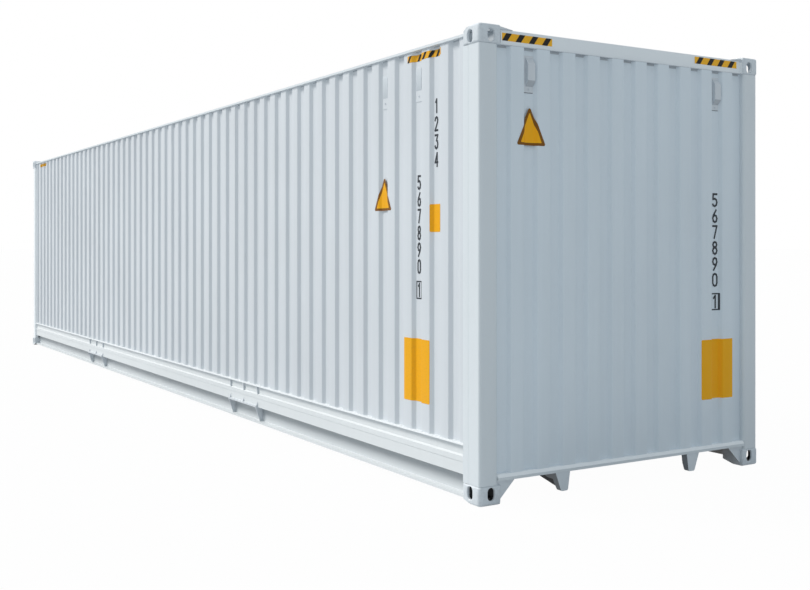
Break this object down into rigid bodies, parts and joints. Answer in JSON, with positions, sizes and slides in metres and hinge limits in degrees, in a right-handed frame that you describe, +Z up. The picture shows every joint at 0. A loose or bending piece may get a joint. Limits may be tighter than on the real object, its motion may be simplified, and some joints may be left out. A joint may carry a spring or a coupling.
{
  "type": "shipping container",
  "caption": "Long high-cube steel freight container with corrugated walls, hollow corner castings, a tall folded bottom rail with lift pockets and closed double doors",
  "frame": {"origin": "on the ground under the middle of the container", "axes": "+X towards the blind front end along the length, +Y across towards the left long side, +Z up"},
  "size_m": [12.192, 2.438, 2.896],
  "materials": {
    "body_paint": "satin",
    "casting_paint": "satin",
    "underframe_paint": "matte",
    "galvanised_steel": "satin",
    "seal_rubber": "matte",
    "floor_plywood": "matte"
  },
  "bodies": {
    "root": {"bottom_rail_left": "body_paint", "bottom_rail_right": "body_paint", "corner_gusset_left": "body_paint", "corner_gusset_right": "body_paint", "crossmembers": "underframe_paint", "door_gasket": "seal_rubber", "door_handles": "galvanised_steel", "door_leaf_left": "body_paint", "door_leaf_right": "body_paint", "door_sill": "body_paint", "fitting_front_bottom_left": "casting_paint", "fitting_front_bottom_right": "casting_paint", "fitting_front_top_left": "casting_paint", "fitting_front_top_right": "casting_paint", "fitting_rear_bottom_left": "casting_paint", "fitting_rear_bottom_right": "casting_paint", "fitting_rear_top_left": "casting_paint", "fitting_rear_top_right": "casting_paint", "floor_boards": "floor_plywood", "front_header": "body_paint", "front_sill": "body_paint", "front_wall": "body_paint", "hinge_blades": "galvanised_steel", "hinge_lugs": "galvanised_steel", "lift_pockets_left": "body_paint", "lift_pockets_right": "body_paint", "lock_rods": "galvanised_steel", "post_front_left": "body_paint", "post_front_right": "body_paint", "post_rear_left": "body_paint", "post_rear_right": "body_paint", "rear_header": "body_paint", "rod_bearings": "galvanised_steel", "rod_keepers": "galvanised_steel", "roof": "body_paint", "roof_corner_guards": "body_paint", "side_wall_left": "body_paint", "side_wall_right": "body_paint", "top_rail_left": "body_paint", "top_rail_right": "body_paint", "tunnel_foot_left": "body_paint", "tunnel_foot_right": "body_paint", "tunnel_plate": "underframe_paint", "tunnel_side_left": "underframe_paint", "tunnel_side_right": "underframe_paint", "ventilators": "body_paint"}
  },
  "joints": []
}
